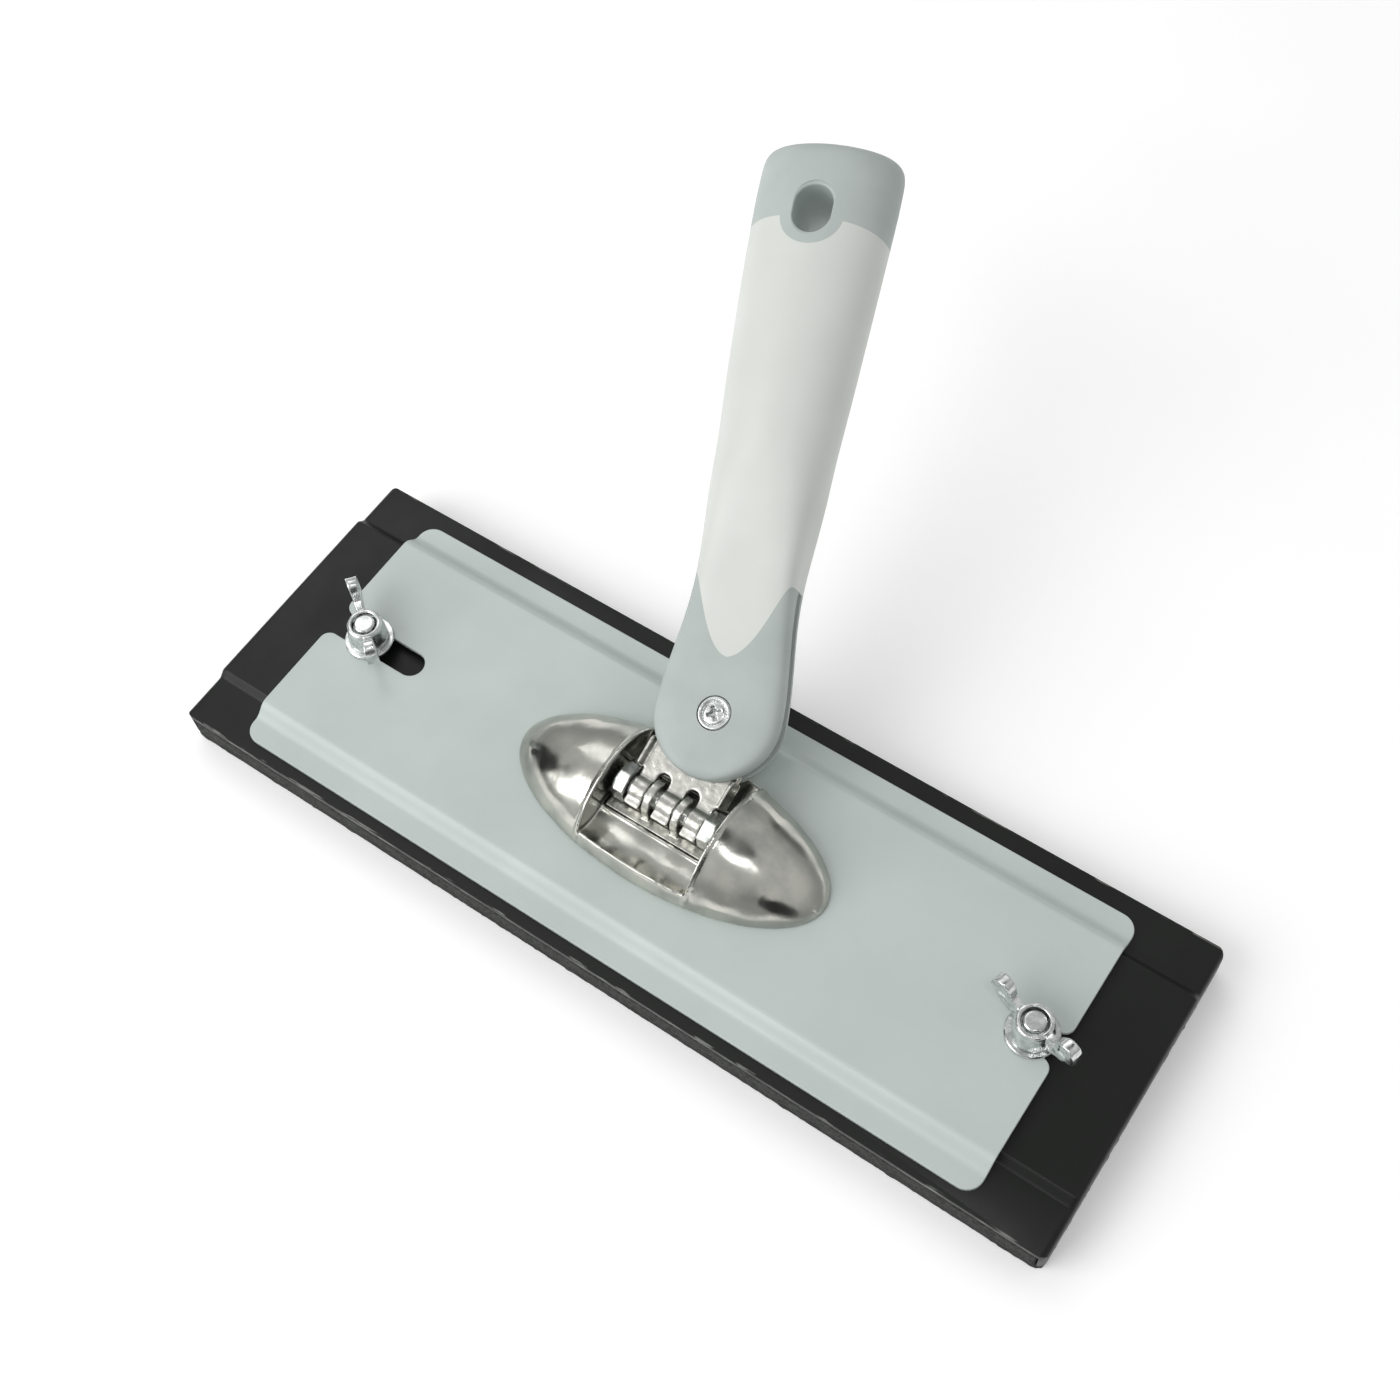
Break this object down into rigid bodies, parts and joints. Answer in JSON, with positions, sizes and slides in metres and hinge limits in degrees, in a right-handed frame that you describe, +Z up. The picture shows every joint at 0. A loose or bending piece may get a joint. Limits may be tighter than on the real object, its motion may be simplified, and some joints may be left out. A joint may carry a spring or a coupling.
{
  "type": "swivel-head hand sander",
  "caption": "Hand sander: foam-faced base plate, clamp plate held by wing nuts, cast knuckle with hinge, and a two-tone moulded handle that tilts and swivels.",
  "frame": {"origin": "centre of the foam pad's working face", "axes": "+X along the base, +Y across it towards the side the handle leans to, +Z up from the working face"},
  "size_m": [0.235, 0.18, 0.0893],
  "materials": {
    "foam": "open-cell look, matt",
    "black_sheet": "satin black enamel, edges worn bright",
    "grey_paint": "light grey powder coat, satin",
    "bright_zinc": "bright zinc plating on steel",
    "cast_zinc": "tumbled zinc die casting",
    "white_plastic": "moulded, fine satin",
    "grey_rubber": "soft-touch overmould, matt",
    "nylon": "natural nylon"
  },
  "bodies": {
    "base": {"foam_pad": "foam", "base_plate": "black_sheet", "stud_left": "bright_zinc", "stud_right": "bright_zinc"},
    "clamp": {"clamp_plate": "grey_paint", "knuckle": "cast_zinc", "hinge_block": "cast_zinc", "knuckle_screw_left": "bright_zinc", "knuckle_screw_right": "bright_zinc", "hinge_bolt": "bright_zinc", "hinge_nut": "bright_zinc"},
    "bracket": {"bracket": "cast_zinc"},
    "handle": {"handle_core": "white_plastic", "lower_skin_front": "grey_rubber", "lower_skin_back": "grey_rubber", "top_cap": "grey_rubber", "swivel_screw": "bright_zinc", "barrel_nut": "bright_zinc", "friction_washer_front": "nylon", "friction_washer_back": "nylon"},
    "washer_left": {"washer_left": "bright_zinc"},
    "washer_right": {"washer_right": "bright_zinc"},
    "nut_left": {"wing_nut_left": "bright_zinc"},
    "nut_right": {"wing_nut_right": "bright_zinc"}
  },
  "joints": [
    {"name": "clamp_slide", "type": "slide", "parent": "base", "child": "clamp", "axis": [-1, 0, 0], "range_m": [0, 0.0125]},
    {"name": "handle_tilt", "type": "hinge", "parent": "clamp", "child": "bracket", "pos_m": [-0.0009, -0.001, 0.021], "axis": [1, 0, 0], "range_deg": [0, 137]},
    {"name": "handle_swivel", "type": "hinge", "parent": "bracket", "child": "handle", "pos_m": [-0.0009, 0.02031, 0.02939], "axis": [0, -0.3665, 0.9304], "range_deg": [-73, 36]},
    {"name": "washer_left_lift", "type": "slide", "parent": "base", "child": "washer_left", "axis": [0, 0, 1], "range_m": [0, 0.004]},
    {"name": "nut_left_turn", "type": "hinge", "parent": "washer_left", "child": "nut_left", "pos_m": [-0.09, -0.001, 0.018], "axis": [0, 0, 1], "range_deg": [0, 1440]},
    {"name": "washer_right_lift", "type": "slide", "parent": "base", "child": "washer_right", "axis": [0, 0, 1], "range_m": [0, 0.004]},
    {"name": "nut_right_turn", "type": "hinge", "parent": "washer_right", "child": "nut_right", "pos_m": [0.092, -0.001, 0.018], "axis": [0, 0, 1], "range_deg": [0, 1440]}
  ],
  "couplings": [
    {"joint": "washer_left_lift", "follows": "nut_left_turn", "m_per_rad": 0.00015915},
    {"joint": "washer_right_lift", "follows": "nut_right_turn", "m_per_rad": 0.00015915}
  ]
}
